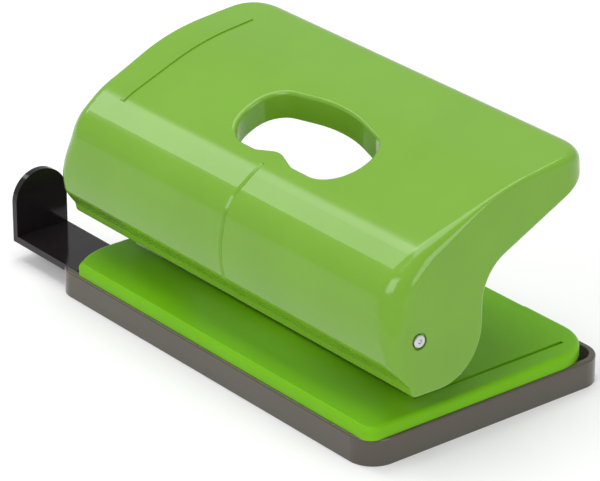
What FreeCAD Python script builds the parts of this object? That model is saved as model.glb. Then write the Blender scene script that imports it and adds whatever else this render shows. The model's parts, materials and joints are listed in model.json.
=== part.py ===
import FreeCAD, Part
import math
import os
from FreeCAD import Vector

# A small two-hole desk punch that is worked by hand.
# Millimetres. X runs along the punch to its right end, Y to its back, Z up.
# The origin is the middle of the flat underside of the chip tray.

# Chip tray
tray_length = 110.0
tray_depth = 65.6
tray_height = 6.1
tray_corner = 6.0
tray_wall = 1.4
tray_floor = 1.2
tray_edge = 0.5
tray_catch_reach = 0.25
tray_shelf_reach = 5.6

# Base plate, standing on the rim of the tray
plate_inset = 0.6
plate_left_inset = 4.2
plate_back_inset = 1.4
plate_left_corner = 9.4
plate_left_bow = 17.0
plate_left_slant_length = 4.2
plate_left_slant_depth = 6.3
plate_left_point = 1.6
plate_front_right_corner = 2.8
plate_back_right_corner = 11.0
plate_rise = 2.9
plate_wall = 1.6
plate_skin = 2.0
plate_edge = 1.2
plate_pad_drop = 1.0
plate_pad_margin = 2.0
locator_drop = 1.2
locator_wall = 1.2
rest_half_length = 31.0
rest_depth = 7.6
rest_corner = 5.0
rest_drop = 0.7
groove_from_side = 6.1
groove_width = 0.9
groove_deep = 0.9
groove_back_gap = 7.5

# Clearances
body_gap = 0.3
slide_fit = 0.05
seat_fit = 0.02
cut_over = 1.0

# Punching line and paper
hole_spacing = 80.0
hole_to_edge = 12.0
punch_from_front = 22.3
paper_slot = 2.0
punch_diameter = 5.5
punch_retract = 0.4
punch_hollow = 0.8
punch_point = 0.5

# Folded steel frame
sheet = 1.2
frame_length = 94.0
frame_front = 5.5
frame_bend = 0.9
frame_relief = 4.6
ear_radius = 3.3
ear_foot = 15.0
ear_foot_round = 2.0

# Dies and pin guides
die_diameter = 8.0
die_clearance = 0.1
die_drop = 1.6
die_collar = 0.9
guide_bush_diameter = 7.4
guide_bush_rise = 4.8
guide_flange = 10.4
guide_flange_thick = 0.8

# Return springs, washers and clips
spring_wire = 0.8
spring_mean = 9.0
spring_turns = 6
coil_checks = 24
washer_thick = 0.8
washer_diameter = 10.4
clip_thick = 0.6
clip_diameter = 8.5
clip_groove_deep = 0.5
clip_opening = 3.0
spring_height = 10.2
pin_head_rise = 1.4

# Pivot rod across the front of the punch
pivot_to_punch = 11.5
pivot_rise = 18.3
rod_diameter = 2.8
rod_proud = 0.15
rod_dimple = 0.5
rod_clip_diameter = 7.0
rod_clip_groove = 0.45

# Handle: side outline, set out from its front and its lower edge. Each corner has its two
# places, the radius of its arc, and how far the edge round the end has grown before and after it
handle_to_pivot = 6.9
handle_depth = 56.25
handle_rise = 6.2
handle_height = 41.3
handle_top_length = 110.4
handle_bottom_length = 117.4
handle_wall = 2.0
handle_edge = 0.9
handle_front_round = 6.0
handle_back_corner = 8.9
handle_tip_round = 4.5
handle_tip_start = 1.6
tip_room_share = 0.92
depth_round_share = 0.734
handle_outline_shares = [
    (0.087, 0.000, 0.029, 0.0, 0.0),
    (0.076, 0.058, 0.036, 0.0, 0.0),
    (0.005, 0.170, 0.121, 0.25, 0.42),
    (-0.018, 0.339, 0.533, 0.43, 0.90),
    (0.023, 0.593, 0.242, 1.0, 0.75),
    (0.181, 0.740, 0.533, 0.57, 0.43),
    (0.539, 0.929, 1.453, 0.06, 0.0),
    (1.000, 0.998, 0.000, 0.0, 0.0),
    (1.000, 0.857, 0.000, 0.0, 0.0),
    (0.437, 0.516, 0.266, 0.0, 0.0),
    (0.414, -0.007, 0.295, 0.0, 0.0),
]
top_back_corner = 7
pivot_boss_diameter = 7.4
pivot_recess_diameter = 3.8
pivot_recess_deep = 0.5
nose_radius = 3.0
nose_thick = 4.0
nose_height = 2.0
stiffener_thick = 1.6
stiffener_drop = 7.0
stiffener_from_back = 6.0
stiffener_from_hole = 5.3

# Finger hole in the handle's top
finger_length = 38.4
finger_depth = 19.1
finger_offset = 3.0
finger_from_front = 13.7
finger_outline_shares = [
    (0.000, 0.000, 0.43),
    (0.318, 0.000, 0.26),
    (0.469, 0.110, 0.26),
    (0.630, 0.000, 0.26),
    (1.000, 0.000, 0.43),
    (1.000, 0.723, 0.366),
    (0.500, 1.000, 1.73),
    (0.000, 0.770, 0.366),
]
finger_rim = 0.9
finger_collar = 1.8
finger_collar_deep = 6.0

# Soft crease round the front of the handle, and the ridge on its top near the left end
seam_x = 1.7
seam_width = 1.2
seam_deep = 0.3
seam_end = 11.0
ridge_inset = 9.5
ridge_width = 1.1
ridge_rise = 0.3
ridge_start = 9.0
ridge_end = 45.0

# Paper guide
guide_width = 13.9
guide_thick = 1.6
guide_front_gap = 0.5
guide_lift = 3.0
guide_reach = 17.0
guide_shoulder = 6.0
guide_tab_rise = 16.4
guide_rail_width = 10.0
guide_rail_end = 11.5
guide_channel_start = 14.5
guide_channel_wall = 1.1
guide_hook = 1.0
guide_hook_thick = 0.8
guide_notch = 0.8
guide_stops = (144.0, 210.0, 297.0)

# Leaf spring that holds the paper guide in its notches
leaf_thick = 0.4
leaf_length = 16.0
leaf_height = 1.4
leaf_bow_length = 3.0
leaf_x = -33.0
leaf_foot = 6.0
leaf_window = 9.0

# Screws
screw_diameter = 2.2
screw_head_diameter = 4.2
screw_head_thick = 1.2
screw_slot_width = 0.7
screw_slot_deep = 0.6
screw_x = 31.0
screw_boss = 4.4
screw_edge = 3.2

# Heights and places that follow from the sizes above
plate_top = tray_height + plate_rise
plate_left = -tray_length / 2 + plate_left_inset
plate_right = tray_length / 2 - plate_inset
plate_front = -tray_depth / 2 + plate_inset
plate_back = tray_depth / 2 - plate_back_inset
punch_line = -tray_depth / 2 + punch_from_front
plate_under = plate_top - plate_skin
pad_under = plate_under - plate_pad_drop
slot_top = plate_top + paper_slot
frame_back = punch_line + hole_to_edge
frame_front_y = punch_line - frame_front
guide_top = slot_top + sheet
seat_z = guide_top + guide_flange_thick
washer_z = seat_z + spring_height
clip_z = washer_z + washer_thick
pin_top = clip_z + clip_thick + pin_head_rise
ear_outer = frame_length / 2
ear_inner = ear_outer - sheet
pivot_y = punch_line - pivot_to_punch
pivot_z = plate_top + pivot_rise
handle_front = pivot_y - handle_to_pivot
handle_bottom = plate_top + handle_rise
handle_back = handle_front + handle_depth
handle_top = handle_bottom + handle_height
outline_round = min(handle_height, handle_depth * depth_round_share)
finger_front = handle_front + finger_from_front
finger_back = finger_front + finger_depth
draft = (handle_bottom_length - handle_top_length) / 2 / handle_height
guide_z = tray_floor + guide_lift
guide_front = -tray_depth / 2 + tray_wall + guide_front_gap
guide_back = guide_front + guide_width
rail_front = guide_front + (guide_width - guide_rail_width) / 2
rail_back = rail_front + guide_rail_width
punch_sides = (("left", -hole_spacing / 2), ("right", hole_spacing / 2))


def side_point(y, z):
    return Vector(0, y, z)


def plan_point(x, y):
    return Vector(x, y, 0)


def straight(start, end):
    """A list with the straight edge between two points, or an empty one where they meet."""
    if (end - start).Length < seat_fit:
        return []
    return [Part.LineSegment(start, end).toShape()]


def rounded_face(corners, place):
    """A face whose outline turns each corner (a, b, radius) with an arc."""
    points = [Vector(a, b, 0) for a, b, radius in corners]
    edges = []
    last_end = None
    first_start = None
    for index, (a, b, radius) in enumerate(corners):
        corner = points[index]
        back = (points[index - 1] - corner).normalize()
        ahead = (points[(index + 1) % len(points)] - corner).normalize()
        start = corner
        end = corner
        if radius > 0:
            half = back.getAngle(ahead) / 2
            run = radius / math.tan(half)
            start = corner + back * run
            end = corner + ahead * run
            middle = corner + (back + ahead).normalize() * (radius / math.sin(half) - radius)
        if last_end is None:
            first_start = start
        else:
            edges += straight(place(last_end.x, last_end.y), place(start.x, start.y))
        if radius > 0:
            arc = Part.Arc(place(start.x, start.y), place(middle.x, middle.y), place(end.x, end.y))
            edges.append(arc.toShape())
        last_end = end
    edges += straight(place(last_end.x, last_end.y), place(first_start.x, first_start.y))
    return Part.Face(Part.Wire(edges))


def plan_prism(corners, bottom, top):
    """An upright block with any plan outline."""
    face = rounded_face(corners, plan_point)
    face.translate(Vector(0, 0, bottom))
    return face.extrude(Vector(0, 0, top - bottom))


def moved_in(corners, distance):
    """The same outline, walked anticlockwise or clockwise, with each side moved inwards."""
    points = [Vector(a, b, 0) for a, b, radius in corners]
    count = len(points)
    area = sum(points[i - 1].x * points[i].y - points[i].x * points[i - 1].y for i in range(count))
    turn = 1 if area > 0 else -1
    result = []
    for index, (a, b, radius) in enumerate(corners):
        corner = points[index]
        into = (corner - points[index - 1]).normalize()
        out = (points[(index + 1) % count] - corner).normalize()
        normal_in = Vector(-into.y, into.x, 0) * turn
        normal_out = Vector(-out.y, out.x, 0) * turn
        middle = (normal_in + normal_out).normalize()
        place = corner + middle * (distance / middle.dot(normal_in))
        convex = (into.x * out.y - into.y * out.x) * turn > 0
        round_off = radius - distance if convex else radius + distance
        result.append((place.x, place.y, max(round_off, 0)))
    return result


def plan_box(length, depth, corner, bottom, top):
    """An upright block with rounded plan corners, centred on the origin."""
    half_x = length / 2
    half_y = depth / 2
    corners = [(-half_x, -half_y, corner), (half_x, -half_y, corner),
               (half_x, half_y, corner), (-half_x, half_y, corner)]
    return plan_prism(corners, bottom, top)


def block(x_low, x_high, y_low, y_high, z_low, z_high):
    return Part.makeBox(x_high - x_low, y_high - y_low, z_high - z_low, Vector(x_low, y_low, z_low))


def upright(diameter, x, y, z_low, z_high):
    return Part.makeCylinder(diameter / 2, z_high - z_low, Vector(x, y, z_low))


def along_x(diameter, x_low, x_high, y, z):
    return Part.makeCylinder(diameter / 2, x_high - x_low, Vector(x_low, y, z), Vector(1, 0, 0))


def side_slab(corners, x_low, x_high):
    face = rounded_face(corners, side_point)
    face.translate(Vector(x_low, 0, 0))
    return face.extrude(Vector(x_high - x_low, 0, 0))


def level_edges(shape, height):
    """Edges that lie wholly at one height."""
    found = []
    for edge in shape.Edges:
        box = edge.BoundBox
        if abs(box.ZMin - height) < seat_fit and abs(box.ZMax - height) < seat_fit:
            found.append(edge)
    return found


def save(name, shape):
    shape = shape.removeSplitter()
    if not shape.isValid():
        print(name, "is not valid")
    print(name, "solids", len(shape.Solids), "volume", round(shape.Volume, 1))
    if len(shape.Solids) == 1:
        shape = shape.Solids[0]
    shape.exportStep("parts/" + name + ".step")


# Base


def make_chip_tray():
    tray = plan_box(tray_length, tray_depth, tray_corner, 0, tray_height)
    tray = tray.makeFillet(tray_edge, level_edges(tray, tray_height))
    inside = plan_box(tray_length - 2 * tray_wall, tray_depth - 2 * tray_wall,
                      tray_corner - tray_wall, tray_floor, tray_height + cut_over)
    tray = tray.cut(inside)
    # A shelf inside the left end, on which the left wall of the base plate stands
    shelf = block(-tray_length / 2 + tray_wall / 2, -tray_length / 2 + tray_shelf_reach,
                  guide_back + body_gap, tray_depth / 2 - tray_wall / 2, guide_z - body_gap, tray_height)
    inner_line = plan_box(tray_length - tray_wall, tray_depth - tray_wall, tray_corner - tray_wall / 2,
                          0, tray_height)
    tray = tray.fuse(shelf.common(inner_line))
    notch = block(-tray_length / 2 - cut_over, -tray_length / 2 + tray_corner,
                  guide_front - guide_front_gap, guide_back + body_gap, guide_z - body_gap, tray_height + cut_over)
    tray = tray.cut(notch)
    # Low bump inside the right end wall, under the skirt of the base plate
    bump_x = tray_length / 2 - tray_wall + tray_catch_reach
    bump_y = (guide_back + tray_depth / 2) / 2
    return tray.fuse(Part.makeSphere(tray_catch_reach * 2, Vector(bump_x, bump_y, guide_z)))


def plate_corners():
    # In front the left side bows in and meets the front in a sharp corner
    return [(plate_left, plate_front + plate_left_slant_depth, plate_left_bow),
            (plate_left + plate_left_slant_length, plate_front, plate_left_point),
            (plate_right, plate_front, plate_front_right_corner),
            (plate_right, plate_back, plate_back_right_corner), (plate_left, plate_back, plate_left_corner)]


def plate_skirt(inset):
    """What lies inside both the tray and the outline of the plate, moved in by an inset."""
    reach_x = tray_length - 2 * (tray_wall + body_gap + inset)
    reach_y = tray_depth - 2 * (tray_wall + body_gap + inset)
    low = tray_height - locator_drop
    inside = plan_box(reach_x, reach_y, tray_corner - tray_wall - body_gap - inset, low, plate_under)
    return inside.common(plan_prism(moved_in(plate_corners(), body_gap + inset), low, plate_under))


def frame_bed(gap, low, high):
    """The plan of the steel frame's floor, which is narrower behind its ears."""
    wide = block(-ear_outer - gap, ear_outer + gap, frame_front_y - gap, frame_front_y + ear_foot + gap, low, high)
    narrow = ear_outer - frame_relief + gap
    return wide.fuse(block(-narrow, narrow, frame_front_y, frame_back + sheet + gap, low, high))


def make_base_plate():
    plate = plan_prism(plate_corners(), tray_height, plate_top)
    plate = plate.makeFillet(plate_edge, level_edges(plate, plate_top))
    under = plan_prism(moved_in(plate_corners(), plate_wall), tray_height - cut_over, plate_under)
    plate = plate.cut(under)
    # Skirt that drops inside the tray, behind the paper guide and clear of the tray's shelf
    skirt = plate_skirt(0).cut(plate_skirt(locator_wall))
    front_part = block(-tray_length, tray_length, -tray_depth, guide_back + body_gap, 0, plate_top)
    shelf_part = block(-tray_length, -tray_length / 2 + tray_shelf_reach + body_gap, -tray_depth, tray_depth,
                       0, tray_height)
    plate = plate.fuse(skirt.cut(front_part).cut(shelf_part))
    # Low rest for the thumb in the middle of the back edge
    rest = [(-rest_half_length, plate_back - rest_depth, rest_corner),
            (rest_half_length, plate_back - rest_depth, rest_corner),
            (rest_half_length, plate_back + rest_depth, 0), (-rest_half_length, plate_back + rest_depth, 0)]
    plate = plate.cut(plan_prism(rest, plate_top - rest_drop, plate_top + cut_over))
    # Pad under the steel frame, with the frame's pocket on top
    pad = block(-ear_outer - plate_pad_margin, ear_outer + plate_pad_margin,
                frame_front_y + guide_hook, frame_back + sheet + plate_pad_margin, pad_under, plate_under)
    plate = plate.fuse(pad)
    plate = plate.cut(frame_bed(seat_fit, plate_top - sheet, plate_top + cut_over))
    for side, x in punch_sides:
        hole = upright(die_diameter + 2 * body_gap, x, punch_line, 0, plate_top)
        plate = plate.cut(hole)
    for x, y in screw_places():
        plate = plate.cut(upright(screw_diameter + 2 * seat_fit, x, y, 0, plate_top))
    # A narrow groove along the right side of the top
    x = tray_length / 2 - groove_from_side
    groove = block(x - groove_width / 2, x + groove_width / 2, frame_front_y,
                   tray_depth / 2 - groove_back_gap, plate_top - groove_deep, plate_top + cut_over)
    plate = plate.cut(groove)
    plate = plate.fuse(guide_channel())
    boss = upright(screw_boss, leaf_screw_x(), leaf_screw_y(), guide_z + leaf_height + body_gap, plate_under)
    plate = plate.fuse(boss)
    pilot = upright(screw_diameter - 2 * seat_fit, leaf_screw_x(), leaf_screw_y(), 0, plate_under)
    return plate.cut(pilot)


def guide_channel():
    """Two hooked rails under the plate that carry the rail of the paper guide."""
    start = -tray_length / 2 + guide_channel_start
    end = tray_length / 2 - tray_corner
    hook_top = guide_z - body_gap
    hook_bottom = hook_top - guide_hook_thick
    channel = None
    for face, way in ((rail_front - body_gap, -1), (rail_back + body_gap, 1)):
        wall_y = sorted((face, face + way * guide_channel_wall))
        hook_y = sorted((face - way * (guide_hook + body_gap), face))
        wall = block(start, end, wall_y[0], wall_y[1], hook_bottom, plate_under)
        hook = block(start, end, hook_y[0], hook_y[1], hook_bottom, hook_top)
        rail = wall.fuse(hook)
        channel = rail if channel is None else channel.fuse(rail)
    middle = (rail_front + rail_back) / 2
    rib = block(start, end, middle - guide_channel_wall / 2, middle + guide_channel_wall / 2,
                guide_z + guide_thick + body_gap, plate_under)
    window = block(leaf_x - leaf_window / 2, leaf_x + leaf_window / 2, rail_back,
                   rail_back + body_gap + guide_channel_wall + cut_over, guide_z - body_gap, plate_under)
    return channel.fuse(rib).cut(window)


# Steel frame with its dies and guides


def screw_places():
    front = frame_front_y + screw_edge
    back = frame_back - screw_edge
    return [(-screw_x, front), (screw_x, front), (-screw_x, back), (screw_x, back)]


def make_punch_frame():
    low = plate_top - sheet
    back = frame_back + sheet
    outer = [(frame_front_y, low, 0), (back, low, frame_bend + sheet / 2),
             (back, guide_top, frame_bend + sheet / 2), (frame_front_y, guide_top, 0)]
    inner = [(frame_front_y - cut_over, plate_top, 0), (frame_back, plate_top, frame_bend / 2),
             (frame_back, slot_top, frame_bend / 2), (frame_front_y - cut_over, slot_top, 0)]
    frame = side_slab(outer, -ear_outer, ear_outer).cut(side_slab(inner, -ear_outer - cut_over, ear_outer + cut_over))
    frame = frame.common(frame_bed(0, low, guide_top))
    # An ear at each end carries the pivot rod
    ear = [(frame_front_y, guide_top - sheet / 2, 0),
           (frame_front_y + ear_foot, guide_top - sheet / 2, 0),
           (frame_front_y + ear_foot, guide_top + ear_foot_round, ear_foot_round),
           (pivot_y + ear_radius, pivot_z + ear_radius, ear_radius),
           (pivot_y - ear_radius, pivot_z + ear_radius, ear_radius),
           (pivot_y - ear_radius, pivot_z - ear_radius, ear_radius)]
    for x_low in (-ear_outer, ear_inner):
        frame = frame.fuse(side_slab(ear, x_low, x_low + sheet))
    frame = frame.cut(along_x(rod_diameter + 2 * slide_fit, -ear_outer - cut_over, ear_outer + cut_over,
                              pivot_y, pivot_z))
    for side, x in punch_sides:
        frame = frame.cut(upright(die_diameter + 2 * seat_fit, x, punch_line, low - cut_over, guide_top + cut_over))
    for x, y in screw_places():
        frame = frame.cut(upright(screw_diameter + 2 * seat_fit, x, y, low - cut_over, plate_top + cut_over / 2))
    return frame


def make_die_bush(x):
    low = plate_top - sheet - die_drop
    bush = upright(die_diameter, x, punch_line, low, plate_top)
    bush = bush.cut(upright(punch_diameter + 2 * die_clearance, x, punch_line, low - cut_over, plate_top + cut_over))
    relief = upright(punch_diameter + 2 * die_collar, x, punch_line, low - cut_over, plate_top - sheet)
    return bush.cut(relief)


def make_pin_guide(x):
    bush = upright(die_diameter, x, punch_line, slot_top, guide_top)
    bush = bush.fuse(upright(guide_flange, x, punch_line, guide_top, seat_z))
    bush = bush.fuse(upright(guide_bush_diameter, x, punch_line, seat_z, guide_top + guide_bush_rise))
    bore = punch_diameter + 2 * slide_fit
    return bush.cut(upright(bore, x, punch_line, slot_top - cut_over, guide_top + guide_bush_rise + cut_over))


def make_punch_pin(x):
    tip = slot_top + punch_retract
    pin = upright(punch_diameter, x, punch_line, tip, pin_top)
    pin = pin.makeChamfer(punch_point / 2, level_edges(pin, pin_top))
    # The tip is ground hollow, so that it cuts from its two sides first
    radius = (punch_diameter ** 2 / 4 + punch_hollow ** 2) / (2 * punch_hollow)
    hollow = Part.makeCylinder(radius, 2 * punch_diameter,
                               Vector(x - punch_diameter, punch_line, tip + punch_hollow - radius), Vector(1, 0, 0))
    pin = pin.cut(hollow)
    ring = upright(punch_diameter + cut_over, x, punch_line, clip_z, clip_z + clip_thick)
    ring = ring.cut(upright(punch_diameter - 2 * clip_groove_deep, x, punch_line, clip_z, clip_z + clip_thick))
    return pin.cut(ring)


def joined_arcs(start, heading, end, end_heading):
    """Two arcs that run smoothly from one point and heading to another."""
    chord = end - start
    both = heading + end_heading
    bend = 2 * (1 - heading.dot(end_heading))
    reach = (math.sqrt(chord.dot(both) ** 2 + bend * chord.dot(chord)) - chord.dot(both)) / bend
    first = start + heading * reach
    second = end - end_heading * reach
    joint = (first + second) / 2
    arcs = []
    for a, tip, b in ((start, first, joint), (joint, second, end)):
        middle = (a + b) / 2
        half = (b - a).Length / 2
        radius = half / math.sqrt(1 - (half / reach) ** 2)
        on_arc = tip + (middle - tip).normalize() * (math.hypot(radius, reach) - radius)
        arcs.append(Part.Arc(a, on_arc, b).toShape())
    return arcs


def coil_point(x, turn):
    """The middle of the spring's wire after some turns, and the way it heads there."""
    pitch = (spring_height - spring_wire - 2 * seat_fit) / spring_turns
    radius = spring_mean / 2
    angle = 2 * math.pi * turn
    low = seat_z + seat_fit + spring_wire / 2
    place = Vector(x + radius * math.cos(angle), punch_line + radius * math.sin(angle), low + pitch * turn)
    heading = Vector(-radius * math.sin(angle), radius * math.cos(angle), pitch / (2 * math.pi)).normalize()
    return place, heading


def least_coil_gap(x):
    """The smallest gap between one turn of the wire and the next, measured on points."""
    points = [coil_point(x, i / coil_checks)[0] for i in range(spring_turns * coil_checks + 1)]
    gaps = [(points[j] - points[i]).Length for i in range(len(points))
            for j in range(i + coil_checks // 2, len(points))]
    return min(gaps) - spring_wire


def make_return_spring(x):
    """A compression spring of round wire, one unbroken tube."""
    edges = []
    for quarter in range(spring_turns * 4):
        start, heading = coil_point(x, quarter / 4)
        end, end_heading = coil_point(x, (quarter + 1) / 4)
        edges += joined_arcs(start, heading, end, end_heading)
    start, heading = coil_point(x, 0)
    section = Part.Wire(Part.makeCircle(spring_wire / 2, start, heading))
    print("least gap between turns", round(least_coil_gap(x), 2))
    return Part.Wire(edges).makePipeShell([section], True)


def make_spring_washer(x):
    washer = upright(washer_diameter, x, punch_line, washer_z, clip_z)
    return washer.cut(upright(punch_diameter + 2 * seat_fit, x, punch_line, washer_z - cut_over, clip_z + cut_over))


def make_pin_clip(x):
    low = clip_z + seat_fit
    high = clip_z + clip_thick - seat_fit
    clip = upright(clip_diameter, x, punch_line, low, high)
    bore = punch_diameter - 2 * clip_groove_deep + 2 * seat_fit
    clip = clip.cut(upright(bore, x, punch_line, low - cut_over, high + cut_over))
    mouth = block(x - clip_opening / 2, x + clip_opening / 2, punch_line, punch_line + clip_diameter,
                  low - cut_over, high + cut_over)
    return clip.cut(mouth)


def make_frame_screws():
    screws = []
    head_low = pad_under - screw_head_thick
    for x, y in screw_places():
        screw = upright(screw_head_diameter, x, y, head_low, pad_under - seat_fit)
        screw = screw.fuse(upright(screw_diameter, x, y, pad_under - seat_fit, plate_top - seat_fit))
        slot = block(x - screw_head_diameter, x + screw_head_diameter, y - screw_slot_width / 2,
                     y + screw_slot_width / 2, head_low - cut_over, head_low + screw_slot_deep)
        screws.append(screw.cut(slot))
    return Part.makeCompound(screws)


# Pivot


def half_length(z):
    """Half the handle's outside length at one height: its ends lean in towards the top."""
    return handle_bottom_length / 2 - draft * (z - handle_bottom)


def rod_clip_x():
    return ear_inner - slide_fit - clip_thick


def make_pivot_rod():
    end = half_length(pivot_z) + rod_proud
    rod = along_x(rod_diameter, -end, end, pivot_y, pivot_z)
    rod = rod.makeChamfer(rod_proud, [edge for edge in rod.Edges if edge.BoundBox.XLength < seat_fit])
    for side in (-1, 1):
        dimple = Part.makeSphere(rod_dimple, Vector(side * end, pivot_y, pivot_z))
        rod = rod.cut(dimple)
        x_low = min(side * rod_clip_x(), side * (rod_clip_x() + clip_thick))
        ring = along_x(rod_diameter + cut_over, x_low, x_low + clip_thick, pivot_y, pivot_z)
        ring = ring.cut(along_x(rod_diameter - 2 * rod_clip_groove, x_low, x_low + clip_thick, pivot_y, pivot_z))
        rod = rod.cut(ring)
    return rod


def make_rod_clip(side):
    x_low = min(side * rod_clip_x(), side * (rod_clip_x() + clip_thick)) + seat_fit
    x_high = x_low + clip_thick - 2 * seat_fit
    clip = along_x(rod_clip_diameter, x_low, x_high, pivot_y, pivot_z)
    bore = rod_diameter - 2 * rod_clip_groove + 2 * seat_fit
    clip = clip.cut(along_x(bore, x_low - cut_over, x_high + cut_over, pivot_y, pivot_z))
    mouth = block(x_low - cut_over, x_high + cut_over, pivot_y - rod_clip_groove * 2,
                  pivot_y + rod_clip_groove * 2, pivot_z - rod_clip_diameter, pivot_z)
    return clip.cut(mouth)


# Handle


def handle_corners():
    return [(handle_front + y * handle_depth, handle_bottom + z * handle_height, radius * outline_round)
            for y, z, radius, before, after in handle_outline_shares]


def between_ends(inset):
    """A wedge that holds all between the handle's two leaning ends, moved in by an inset."""
    low = 0
    high = handle_top + tray_height
    corners = [(-half_length(low) + inset, low), (half_length(low) - inset, low),
               (half_length(high) - inset, high), (-half_length(high) + inset, high)]
    face = Part.Face(Part.makePolygon([Vector(x, -tray_depth, z) for x, z in corners + corners[:1]]))
    return face.extrude(Vector(0, 2 * tray_depth, 0))


def corner_cutters(inset, line, way, radius):
    """What is cut away to round two corners of the handle in plan: way is -1 for the front, 1 for the back."""
    low = 0
    high = handle_top + tray_height
    turn = line - way * radius
    past = line + way * radius
    cutters = []
    for side in (-1, 1):
        end = half_length(low) - inset
        bow = radius * (1 - math.sqrt(0.5))
        arc = Part.Arc(Vector(side * (end - radius), line, low), Vector(side * (end - bow), line - way * bow, low),
                       Vector(side * end, turn, low)).toShape()
        outer = [Vector(side * end, turn, low), Vector(side * (end + radius), turn, low),
                 Vector(side * (end + radius), past, low), Vector(side * (end - radius), past, low),
                 Vector(side * (end - radius), line, low)]
        edges = [arc] + [Part.LineSegment(a, b).toShape() for a, b in zip(outer, outer[1:])]
        lean = Vector(-side * draft * (high - low), 0, high - low)
        cutters.append(Part.Face(Part.Wire(edges)).extrude(lean))
    return cutters


def shaped(corners, inset):
    """The handle's full form: its side outline between its ends, with round back corners."""
    body = side_slab(corners, -handle_bottom_length, handle_bottom_length).common(between_ends(inset))
    for cutter in corner_cutters(inset, handle_back - inset, 1, handle_back_corner - inset):
        body = body.cut(cutter)
    return body


def side_walls(body):
    """The handle's two ends, its back and the round corners between them."""
    walls = []
    for face in body.Faces:
        u_low, u_high, v_low, v_high = face.ParameterRange
        normal = face.normalAt((u_low + u_high) / 2, (v_low + v_high) / 2)
        at_back = face.CenterOfMass.y > handle_back - handle_back_corner
        if abs(normal.x) > math.cos(math.atan(2 * draft)) or (at_back and abs(normal.z) < math.sqrt(0.5)):
            walls.append(face)
    return walls


def edge_round(point):
    """The radius that the edge round the handle's ends and back has at one point."""
    corners = handle_corners()
    upper, lower = corners[top_back_corner][1], corners[top_back_corner + 1][1]
    if point.y > handle_back - handle_back_corner - seat_fit:
        if point.z < (upper + lower) / 2 - (handle_back - point.y) / 2:
            return handle_edge
        if point.y < handle_back - seat_fit:
            return handle_tip_start
        return min(handle_tip_round, (upper - lower - handle_edge) * tip_room_share)
    found = []
    for index, (a, b, radius) in enumerate(corners):
        corner = side_point(a, b)
        back = (side_point(*corners[index - 1][:2]) - corner).normalize()
        ahead = (side_point(*corners[(index + 1) % len(corners)][:2]) - corner).normalize()
        run = radius / math.tan(back.getAngle(ahead) / 2)
        before, after = handle_outline_shares[index][3:]
        for place, grown in ((corner + back * run, before), (corner + ahead * run, after)):
            apart = (side_point(point.y, point.z) - place).Length
            found.append((apart, handle_edge + grown * (handle_front_round - handle_edge)))
    return min(found)[1]


def rounded_walls(body):
    """Rounds the one ring of edges round the ends and the back, with a radius that grows and shrinks."""
    edges = [edge for face in side_walls(body) for edge in face.Edges]
    once = [edge for edge in edges if sum(1 for other in edges if other.isSame(edge)) == 1]
    # The ring is walked from the first edge, the way in which that edge runs
    edge = once.pop(0)
    here = edge.valueAt(edge.LastParameter)
    ring = [(edge, edge_round(edge.valueAt(edge.FirstParameter)), edge_round(here))]
    while once:
        apart = [min((vertex.Point - here).Length for vertex in edge.Vertexes) for edge in once]
        edge = once.pop(apart.index(min(apart)))
        start = here
        here = max((vertex.Point for vertex in edge.Vertexes), key=lambda point: (point - start).Length)
        ring.append((edge, edge_round(start), edge_round(here)))
    rounds = []
    for edge, start_round, end_round in ring:
        number = next(i for i, other in enumerate(body.Edges, 1) if other.isSame(edge))
        rounds.append((number, start_round, end_round))
    document = FreeCAD.newDocument()
    sharp = document.addObject("Part::Feature", "sharp")
    sharp.Shape = body
    smooth = document.addObject("Part::Fillet", "smooth")
    smooth.Base = sharp
    smooth.Edges = rounds
    document.recompute()
    return smooth.Shape


def finger_corners():
    left = finger_offset - finger_length / 2
    return [(left + x * finger_length, finger_front + y * finger_depth, radius * finger_depth)
            for x, y, radius in finger_outline_shares]


def finger_prism(grow):
    return plan_prism(moved_in(finger_corners(), -grow), 0, handle_top + tray_height)


def rim_edges(body):
    """The edges where the finger hole meets the handle's top."""
    found = []
    for edge in body.Edges:
        box = edge.BoundBox
        within_x = abs((box.XMin + box.XMax) / 2 - finger_offset) < finger_length / 2 + seat_fit
        within_y = box.YMin > finger_front - seat_fit and box.YMax < finger_back + seat_fit
        above = box.ZMin > handle_top - handle_height / 3
        upright_edge = box.ZLength > finger_collar_deep
        if within_x and within_y and above and box.XLength < finger_length and not upright_edge:
            found.append(edge)
    return found


def handle_cavity(corners):
    inner = moved_in(corners, handle_wall)
    low = handle_bottom - handle_height / 2
    foot, back = inner[0], inner[top_back_corner]
    front_and_top = inner[1:top_back_corner]
    tip = (back[0], back[1], handle_tip_round - handle_wall)
    cavity = shaped([(foot[0], low, 0), (foot[0], foot[1], 0)] + front_and_top + [tip, (back[0], low, 0)], handle_wall)
    front = min(point.y for point in (vertex.Point for vertex in cavity.Vertexes))
    for cutter in corner_cutters(handle_wall, front, -1, handle_front_round - handle_wall):
        cavity = cavity.cut(cutter)
    return cavity


def pressing_nose(x):
    """The rib over a punch pin, from the handle's top down to a round nose."""
    centre_z = pivot_z + nose_height
    top = handle_top
    corners = [(punch_line - nose_radius, top, 0), (punch_line - nose_radius, centre_z - nose_radius, nose_radius),
               (punch_line + nose_radius, centre_z - nose_radius, nose_radius), (punch_line + nose_radius, top, 0)]
    return side_slab(corners, x - nose_thick / 2, x + nose_thick / 2)


def crease_cutter(corners):
    """What is left of a band round the handle's outline when a wedge-edged body is taken from it."""
    band = side_slab(moved_in(corners, -cut_over), -seam_width / 2, seam_width / 2)
    outlines = []
    for x, deep in ((-seam_width / 2, 0), (0, seam_deep), (seam_width / 2, 0)):
        wire = rounded_face(moved_in(corners, deep), side_point).OuterWire
        wire.translate(Vector(x, 0, 0))
        outlines.append(wire)
    cutter = band.cut(Part.makeLoft(outlines, True, True))
    cutter.translate(Vector(seam_x, 0, 0))
    return cutter


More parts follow.
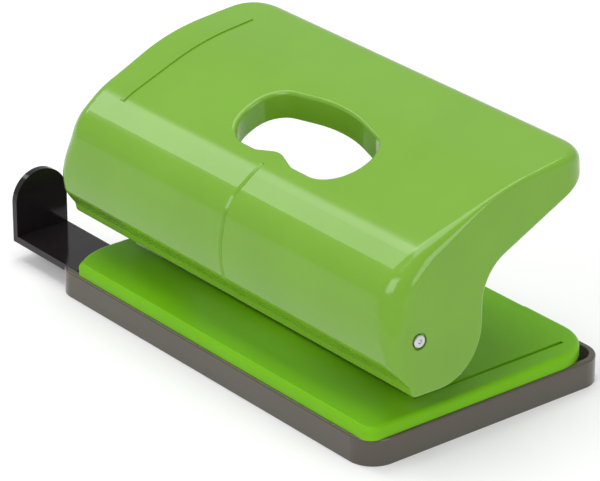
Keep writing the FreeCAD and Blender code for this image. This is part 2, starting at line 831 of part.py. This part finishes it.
def make_handle():
    corners = handle_corners()
    outside = rounded_walls(shaped(corners, 0)).cut(finger_prism(0))
    outside = outside.makeFillet(finger_rim, rim_edges(outside))
    shell = outside.cut(handle_cavity(corners))
    lowered = shaped(corners, 0)
    lowered.translate(Vector(0, 0, -finger_collar_deep))
    shell = shell.fuse(finger_prism(finger_collar).common(outside).cut(lowered))
    for side, x in punch_sides:
        shell = shell.fuse(pressing_nose(x).common(outside))
    # Stiffening ribs behind and in front of the finger hole, and bosses round the pivot
    rib_half = half_length(handle_top) - handle_wall
    below = shaped(corners, 0)
    below.translate(Vector(0, 0, -stiffener_drop))
    for rib_y in (finger_back + stiffener_from_hole, handle_back - stiffener_from_back):
        rib = block(-rib_half, rib_half, rib_y, rib_y + stiffener_thick, handle_bottom, handle_top)
        shell = shell.fuse(rib.common(outside).cut(below))
    for side in (-1, 1):
        inner_end = ear_outer + body_gap
        outer_end = half_length(pivot_z) - handle_edge
        x_low = min(side * inner_end, side * outer_end)
        shell = shell.fuse(along_x(pivot_boss_diameter, x_low, x_low + outer_end - inner_end, pivot_y, pivot_z))
    span = handle_bottom_length
    shell = shell.cut(along_x(rod_diameter + 2 * slide_fit, -span, span, pivot_y, pivot_z))
    for side in (-1, 1):
        depth_at = half_length(pivot_z) - pivot_recess_deep
        x_low = min(side * depth_at, side * span)
        shell = shell.cut(along_x(pivot_recess_diameter, x_low, x_low + span - depth_at, pivot_y, pivot_z))
    # Soft crease round the front, from above the lip to just before the finger hole
    before_hole = block(0, 2 * seam_x, handle_front - handle_wall, handle_front + seam_end,
                        handle_bottom + handle_wall, handle_top)
    shell = shell.cut(crease_cutter(corners).common(before_hole))
    # Low ridge across the top, near the left end
    ridge_x = -handle_top_length / 2 + ridge_inset
    ridge = side_slab(moved_in(corners, -ridge_rise), ridge_x - ridge_width / 2, ridge_x + ridge_width / 2)
    ridge = ridge.cut(side_slab(moved_in(corners, handle_wall / 2), ridge_x - ridge_width, ridge_x + ridge_width))
    on_top = block(ridge_x - ridge_width, ridge_x + ridge_width, handle_front + ridge_start,
                   handle_front + ridge_end, handle_bottom + handle_height / 2, handle_top + handle_wall)
    # The band of the outline also meets the arm's underside there: only its larger piece is the ridge
    ridge = max(ridge.common(on_top).Solids, key=lambda solid: solid.Volume)
    return shell.fuse(ridge)


# Paper guide


def make_paper_guide():
    left = -tray_length / 2 - guide_reach
    wide = block(left - guide_thick, -tray_length / 2 + guide_shoulder, guide_front, guide_back,
                 guide_z, guide_z + guide_thick)
    rail_end = tray_length / 2 - guide_rail_end
    rail = block(-tray_length / 2, rail_end, rail_front, rail_back, guide_z, guide_z + guide_thick)
    guide = wide.fuse(rail)
    radius = guide_width / 2
    tab = block(left - guide_thick, left, guide_front, guide_back, guide_z, guide_z + guide_tab_rise - radius)
    tab = tab.fuse(along_x(guide_width, left - guide_thick, left, guide_front + radius,
                           guide_z + guide_tab_rise - radius))
    guide = guide.fuse(tab)
    # Notches for the sheet widths at which the guide clicks home
    for width in guide_stops:
        x = leaf_x + (width - guide_stops[0]) / 2
        notch = [(x - guide_notch, rail_back + seat_fit, 0), (x, rail_back - guide_notch, 0),
                 (x + guide_notch, rail_back + seat_fit, 0)]
        face = rounded_face(notch, plan_point)
        face.translate(Vector(0, 0, guide_z - cut_over))
        guide = guide.cut(face.extrude(Vector(0, 0, guide_thick + 2 * cut_over)))
    return guide


def leaf_screw_x():
    return leaf_x + leaf_length / 2 + leaf_foot / 2


def leaf_line():
    return rail_back + body_gap + guide_channel_wall + seat_fit


def leaf_screw_y():
    return leaf_line() + leaf_foot / 2


def make_guide_spring():
    """A leaf that lies along the rear rail and bows through its window to the guide's edge."""
    z = guide_z
    y = leaf_line()
    nose = rail_back + slide_fit
    half = leaf_length / 2
    points = [(leaf_x - half, y), (leaf_x - leaf_bow_length, y), (leaf_x, nose), (leaf_x + leaf_bow_length, y),
              (leaf_x + half + leaf_foot, y)]
    outline = points + [(a, b + leaf_thick) for a, b in reversed(points)]
    face = Part.Face(Part.makePolygon([Vector(a, b, z) for a, b in outline + outline[:1]]))
    leaf = face.extrude(Vector(0, 0, leaf_height))
    foot = block(leaf_x + half, leaf_x + half + leaf_foot, y, y + leaf_foot, z + leaf_height - leaf_thick,
                 z + leaf_height)
    foot = foot.cut(upright(screw_diameter + 2 * seat_fit, leaf_screw_x(), leaf_screw_y(), 0, plate_top))
    return leaf.fuse(foot)


def make_guide_spring_screw():
    x = leaf_screw_x()
    y = leaf_screw_y()
    seat = guide_z + leaf_height - leaf_thick - seat_fit
    screw = upright(screw_head_diameter, x, y, seat - screw_head_thick, seat)
    screw = screw.fuse(upright(screw_diameter - 2 * slide_fit, x, y, seat, plate_under - seat_fit))
    slot = block(x - screw_head_diameter, x + screw_head_diameter, y - screw_slot_width / 2,
                 y + screw_slot_width / 2, seat - screw_head_thick - cut_over,
                 seat - screw_head_thick + screw_slot_deep)
    return screw.cut(slot)


os.makedirs("parts", exist_ok=True)
save("chip_tray", make_chip_tray())
save("base_plate", make_base_plate())
save("punch_frame", make_punch_frame())
for side, x in punch_sides:
    save("die_bush_" + side, make_die_bush(x))
    save("pin_guide_" + side, make_pin_guide(x))
    save("punch_pin_" + side, make_punch_pin(x))
    save("return_spring_" + side, make_return_spring(x))
    save("spring_washer_" + side, make_spring_washer(x))
    save("pin_clip_" + side, make_pin_clip(x))
save("frame_screws", make_frame_screws())
save("pivot_rod", make_pivot_rod())
save("rod_clip_left", make_rod_clip(-1))
save("rod_clip_right", make_rod_clip(1))
save("handle", make_handle())
save("paper_guide", make_paper_guide())
save("guide_spring", make_guide_spring())
save("guide_spring_screw", make_guide_spring_screw())
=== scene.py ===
import json

import bmesh
import bpy
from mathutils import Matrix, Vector


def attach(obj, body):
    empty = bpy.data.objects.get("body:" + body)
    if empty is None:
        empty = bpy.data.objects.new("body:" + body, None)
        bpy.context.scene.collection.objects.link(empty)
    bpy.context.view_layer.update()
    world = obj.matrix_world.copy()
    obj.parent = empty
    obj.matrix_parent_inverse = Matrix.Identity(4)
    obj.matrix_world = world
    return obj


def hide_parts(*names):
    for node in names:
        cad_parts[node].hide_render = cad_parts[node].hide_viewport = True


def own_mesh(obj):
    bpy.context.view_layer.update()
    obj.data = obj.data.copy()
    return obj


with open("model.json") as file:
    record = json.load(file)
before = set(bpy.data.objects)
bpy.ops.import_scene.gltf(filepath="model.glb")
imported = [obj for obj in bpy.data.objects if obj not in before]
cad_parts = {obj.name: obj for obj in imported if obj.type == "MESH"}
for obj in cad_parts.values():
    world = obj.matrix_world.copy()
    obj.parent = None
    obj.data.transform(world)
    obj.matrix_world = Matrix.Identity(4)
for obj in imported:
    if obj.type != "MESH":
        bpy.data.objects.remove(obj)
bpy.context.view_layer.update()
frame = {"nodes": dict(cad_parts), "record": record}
nodes = frame["nodes"]

# Lengths and places are in metres, colours are linear.

# Corners of a copied mesh that lie this close are one
MERGE_DISTANCE = 0.000001

# Colours
LEAF_GREEN = (0.157, 0.346, 0.0235, 1)
PLATE_GREEN = (0.158, 0.440, 0.006, 1)
SMOKE = (0.125, 0.106, 0.080, 1)
PIANO_BLACK = (0.012, 0.009, 0.011, 1)
ZINC = (0.63, 0.64, 0.66, 1)
GROUND_STEEL = (0.56, 0.56, 0.57, 1)
SPRING_WIRE = (0.40, 0.41, 0.43, 1)
PAPER_WHITE = (0.88, 0.88, 0.88, 1)
WHITE = (1, 1, 1, 1)

# Plastics
PLASTIC_IOR = 1.5
SMOKE_SEE_THROUGH = 0.38
BLACK_GLOSS = 0.3
WAVINESS = 0.05

# The middle range in which most values of a noise lie
NOISE_LOW = 0.3
NOISE_HIGH = 0.7

# How the grain of a metal is stretched
EVEN = (1, 1, 1)
ALONG_Z = (1, 1, 0.1)

# Floor: it lies a little below the tray's underside. It keeps its shadows within the first
# distance and is plain white from the second on.
FLOOR_HALF = 6
FLOOR_GAP = 0.00003
SHADOW_REACH = 0.1
WHITE_FROM = 0.5
FLOOR_ROUGHNESS = 0.9
FLOOR_GLOSS = 0.1

# How much of plain white each kind of ray sees
FLOOR_SEEN = 0.15
FLOOR_MIRRORED = 0.7
WORLD_SEEN = 1
WORLD_MIRRORED = 0.15
SKY_STRENGTH = 0.5

# Camera
CAMERA_PLACE = (0.56847, -0.46106, 0.36532)
CAMERA_BACK = (0.70724, -0.56536, 0.42450)
CAMERA_LENS = 225.1
CAMERA_SENSOR = 36
CAMERA_NEAR = 0.05
CAMERA_FAR = 20

# What the lamps are aimed at
MIDDLE = (0, 0, 0.03)
SHOULDER = (0, -0.022, 0.043)


# Materials


def new_material(name):
    material = bpy.data.materials.new(name)
    material.use_nodes = True
    tree = material.node_tree
    return material, tree, tree.nodes["Principled BSDF"]


def object_noise(tree, scale, detail=2.0, stretch=EVEN):
    """Noise on the piece's own coordinates; scale is in features per metre."""
    place = tree.nodes.new("ShaderNodeTexCoord")
    mapping = tree.nodes.new("ShaderNodeMapping")
    mapping.inputs["Scale"].default_value = stretch
    noise = tree.nodes.new("ShaderNodeTexNoise")
    noise.inputs["Scale"].default_value = scale
    noise.inputs["Detail"].default_value = detail
    tree.links.new(place.outputs["Object"], mapping.inputs["Vector"])
    tree.links.new(mapping.outputs["Vector"], noise.inputs["Vector"])
    return noise.outputs["Fac"]


def spread(tree, value, low, high):
    """Maps a noise value from its usual middle range to low..high."""
    ramp = tree.nodes.new("ShaderNodeMapRange")
    ramp.inputs["From Min"].default_value = NOISE_LOW
    ramp.inputs["From Max"].default_value = NOISE_HIGH
    ramp.inputs["To Min"].default_value = low
    ramp.inputs["To Max"].default_value = high
    tree.links.new(value, ramp.inputs["Value"])
    return ramp.outputs["Result"]


def bump(tree, shader, value, height, strength):
    node = tree.nodes.new("ShaderNodeBump")
    node.inputs["Distance"].default_value = height
    node.inputs["Strength"].default_value = strength
    tree.links.new(value, node.inputs["Height"])
    tree.links.new(node.outputs["Normal"], shader.inputs["Normal"])


def tinted(tree, shader, colour, value, darkest, lightest):
    """The base colour, a little darker or lighter with a noise value."""
    mix = tree.nodes.new("ShaderNodeMix")
    mix.data_type = "RGBA"
    mix.inputs["A"].default_value = tuple(c * darkest for c in colour[:3]) + (1,)
    mix.inputs["B"].default_value = tuple(c * lightest for c in colour[:3]) + (1,)
    tree.links.new(spread(tree, value, 0, 1), mix.inputs["Factor"])
    tree.links.new(mix.outputs["Result"], shader.inputs["Base Color"])


def rough_between(tree, shader, value, low, high):
    tree.links.new(spread(tree, value, low, high), shader.inputs["Roughness"])


def green_moulding(name, colour, rough_low, rough_high, gloss):
    material, tree, shader = new_material(name)
    tinted(tree, shader, colour, object_noise(tree, scale=60), darkest=0.97, lightest=1.03)
    rough_between(tree, shader, object_noise(tree, scale=900, detail=3), rough_low, rough_high)
    shader.inputs["IOR"].default_value = PLASTIC_IOR
    shader.inputs["Specular IOR Level"].default_value = gloss
    bump(tree, shader, object_noise(tree, scale=70, detail=1), height=0.0004, strength=WAVINESS)
    return material


def smoky_moulding():
    material, tree, shader = new_material("smoky_moulding")
    tinted(tree, shader, SMOKE, object_noise(tree, scale=80), darkest=0.95, lightest=1.05)
    rough_between(tree, shader, object_noise(tree, scale=700, detail=3), low=0.12, high=0.2)
    shader.inputs["Transmission Weight"].default_value = SMOKE_SEE_THROUGH
    shader.inputs["IOR"].default_value = PLASTIC_IOR
    bump(tree, shader, object_noise(tree, scale=90, detail=1), height=0.0003, strength=WAVINESS)
    return material


def black_moulding():
    material, tree, shader = new_material("black_moulding")
    tinted(tree, shader, PIANO_BLACK, object_noise(tree, scale=120), darkest=0.9, lightest=1.1)
    rough_between(tree, shader, object_noise(tree, scale=900, detail=3), low=0.09, high=0.15)
    shader.inputs["IOR"].default_value = PLASTIC_IOR
    shader.inputs["Specular IOR Level"].default_value = BLACK_GLOSS
    bump(tree, shader, object_noise(tree, scale=110, detail=1), height=0.0003, strength=WAVINESS)
    return material


def metal(name, colour, rough_low, rough_high, grain, stretch):
    """Grain is in features per metre; the roughness and the relief are finer than the tone."""
    material, tree, shader = new_material(name)
    shader.inputs["Metallic"].default_value = 1
    tone = object_noise(tree, grain, detail=4, stretch=stretch)
    tinted(tree, shader, colour, tone, darkest=0.9, lightest=1.08)
    finer = object_noise(tree, grain * 2, detail=4, stretch=stretch)
    rough_between(tree, shader, finer, rough_low, rough_high)
    finest = object_noise(tree, grain * 3, detail=3, stretch=stretch)
    bump(tree, shader, finest, height=0.00005, strength=0.15)
    return material


# Pieces


def dress_nodes():
    finishes = {
        "green_plastic": green_moulding(
            "green_moulding", LEAF_GREEN, rough_low=0.13, rough_high=0.18, gloss=0.45
        ),
        "smoky_plastic": smoky_moulding(),
        "black_plastic": black_moulding(),
        "zinc_plate": metal(
            "zinc_plate", ZINC, rough_low=0.26, rough_high=0.4, grain=400, stretch=EVEN
        ),
        "steel": metal(
            "ground_steel", GROUND_STEEL, rough_low=0.2, rough_high=0.34, grain=500, stretch=ALONG_Z
        ),
        "spring_steel": metal(
            "spring_wire", SPRING_WIRE, rough_low=0.25, rough_high=0.4, grain=600, stretch=EVEN
        ),
    }
    for part in frame["record"]["subparts"]:
        data = nodes[part["node"]].data
        data.materials.clear()
        data.materials.append(finishes[part["material_slot"]])
    plate = nodes["base_plate"].data
    plate.materials.clear()
    satin = green_moulding(
        "green_moulding_satin", PLATE_GREEN, rough_low=0.3, rough_high=0.4, gloss=0.12
    )
    plate.materials.append(satin)


def make_coil(side):
    """The return spring as one merged, smooth-shaded copy of its node, hung on the base; the node
    itself is hidden.
    """
    name = "return_spring_" + side
    work = bmesh.new()
    work.from_mesh(nodes[name].data)
    bmesh.ops.remove_doubles(work, verts=work.verts, dist=MERGE_DISTANCE)
    mesh = bpy.data.meshes.new("return_coil_" + side)
    work.to_mesh(mesh)
    work.free()
    mesh.materials.append(nodes[name].data.materials[0])
    for face in mesh.polygons:
        face.use_smooth = True
    coil = bpy.data.objects.new("return_coil_" + side, mesh)
    bpy.context.scene.collection.objects.link(coil)
    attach(coil, "base")
    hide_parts(name)
    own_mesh(coil)


# Surroundings


def combined(tree, operation, first, second):
    """One maths node; first is a socket, second is a socket or a number."""
    node = tree.nodes.new("ShaderNodeMath")
    node.operation = operation
    tree.links.new(first, node.inputs[0])
    if isinstance(second, (int, float)):
        node.inputs[1].default_value = second
    else:
        tree.links.new(second, node.inputs[1])
    return node.outputs["Value"]


def seen_white(tree, straight, mirrored):
    """How much white each ray sees: the camera's and refracted ones, and mirrored ones."""
    rays = tree.nodes.new("ShaderNodeLightPath").outputs
    camera = combined(tree, "MULTIPLY", rays["Is Camera Ray"], straight)
    refracted = combined(tree, "MULTIPLY", rays["Is Transmission Ray"], straight)
    glossy = combined(tree, "MULTIPLY", rays["Is Glossy Ray"], mirrored)
    return combined(tree, "MAXIMUM", combined(tree, "MAXIMUM", camera, refracted), glossy)


def far_off(tree):
    """0 near the object, rising to 1 where the floor is plain white."""
    place = tree.nodes.new("ShaderNodeTexCoord")
    away = tree.nodes.new("ShaderNodeVectorMath")
    away.operation = "LENGTH"
    tree.links.new(place.outputs["Object"], away.inputs[0])
    ramp = tree.nodes.new("ShaderNodeMapRange")
    ramp.inputs["From Min"].default_value = SHADOW_REACH
    ramp.inputs["From Max"].default_value = WHITE_FROM
    tree.links.new(away.outputs["Value"], ramp.inputs["Value"])
    return ramp.outputs["Result"]


def join_shaders(tree, share, plain, white, output):
    mix = tree.nodes.new("ShaderNodeMixShader")
    tree.links.new(share, mix.inputs["Fac"])
    tree.links.new(plain, mix.inputs[1])
    tree.links.new(white, mix.inputs[2])
    tree.links.new(mix.outputs["Shader"], tree.nodes[output].inputs["Surface"])


def make_floor():
    mesh = bpy.data.meshes.new("floor")
    work = bmesh.new()
    bmesh.ops.create_grid(work, x_segments=1, y_segments=1, size=FLOOR_HALF)
    work.to_mesh(mesh)
    work.free()
    floor = bpy.data.objects.new("floor", mesh)
    floor.location.z = -FLOOR_GAP
    bpy.context.scene.collection.objects.link(floor)
    material, tree, shader = new_material("pale_floor")
    shader.inputs["Base Color"].default_value = PAPER_WHITE
    shader.inputs["Roughness"].default_value = FLOOR_ROUGHNESS
    shader.inputs["Specular IOR Level"].default_value = FLOOR_GLOSS
    glow = tree.nodes.new("ShaderNodeEmission")
    glow.inputs["Strength"].default_value = 1
    near = seen_white(tree, FLOOR_SEEN, FLOOR_MIRRORED)
    far = combined(tree, "MULTIPLY", seen_white(tree, 1, 0), far_off(tree))
    share = combined(tree, "MAXIMUM", near, far)
    join_shaders(
        tree, share, shader.outputs["BSDF"], glow.outputs["Emission"], "Material Output"
    )
    mesh.materials.append(material)


def make_world():
    world = bpy.data.worlds.new("studio")
    bpy.context.scene.world = world
    world.use_nodes = True
    tree = world.node_tree
    sky = tree.nodes["Background"]
    sky.inputs["Color"].default_value = WHITE
    sky.inputs["Strength"].default_value = SKY_STRENGTH
    white = tree.nodes.new("ShaderNodeBackground")
    white.inputs["Color"].default_value = WHITE
    white.inputs["Strength"].default_value = 1
    share = seen_white(tree, WORLD_SEEN, WORLD_MIRRORED)
    join_shaders(
        tree, share, sky.outputs["Background"], white.outputs["Background"], "World Output"
    )


def add_light(name, place, target, width, height, power):
    light = bpy.data.lights.new(name, "AREA")
    light.shape = "RECTANGLE"
    light.size = width
    light.size_y = height
    light.energy = power
    lamp = bpy.data.objects.new(name, light)
    lamp.location = place
    aim = Vector(target) - Vector(place)
    lamp.rotation_euler = aim.to_track_quat("-Z", "Y").to_euler()
    bpy.context.scene.collection.objects.link(lamp)


def make_lamps():
    add_light("overhead", (-0.2, 0.1, 1.1), MIDDLE, width=1, height=1, power=8.6)
    add_light("front_key", (0.25, -1.1, 0.8), MIDDLE, width=0.7, height=0.7, power=6)
    add_light("right_fill", (1.2, 0.2, 0.5), MIDDLE, width=0.6, height=0.6, power=3.5)
    add_light("shoulder_strip", (-0.94, -0.196, 0.961), SHOULDER, width=0.22, height=0.8, power=1.8)


def make_camera():
    camera = bpy.data.cameras.new("camera")
    camera.sensor_width = CAMERA_SENSOR
    camera.lens = CAMERA_LENS
    camera.clip_start = CAMERA_NEAR
    camera.clip_end = CAMERA_FAR
    holder = bpy.data.objects.new("camera", camera)
    holder.location = CAMERA_PLACE
    holder.rotation_euler = (-Vector(CAMERA_BACK)).to_track_quat("-Z", "Y").to_euler()
    bpy.context.scene.collection.objects.link(holder)
    bpy.context.scene.camera = holder


dress_nodes()
for side in ("left", "right"):
    make_coil(side)
make_floor()
make_world()
make_camera()
make_lamps()

bpy.context.scene.view_settings.view_transform = "Standard"
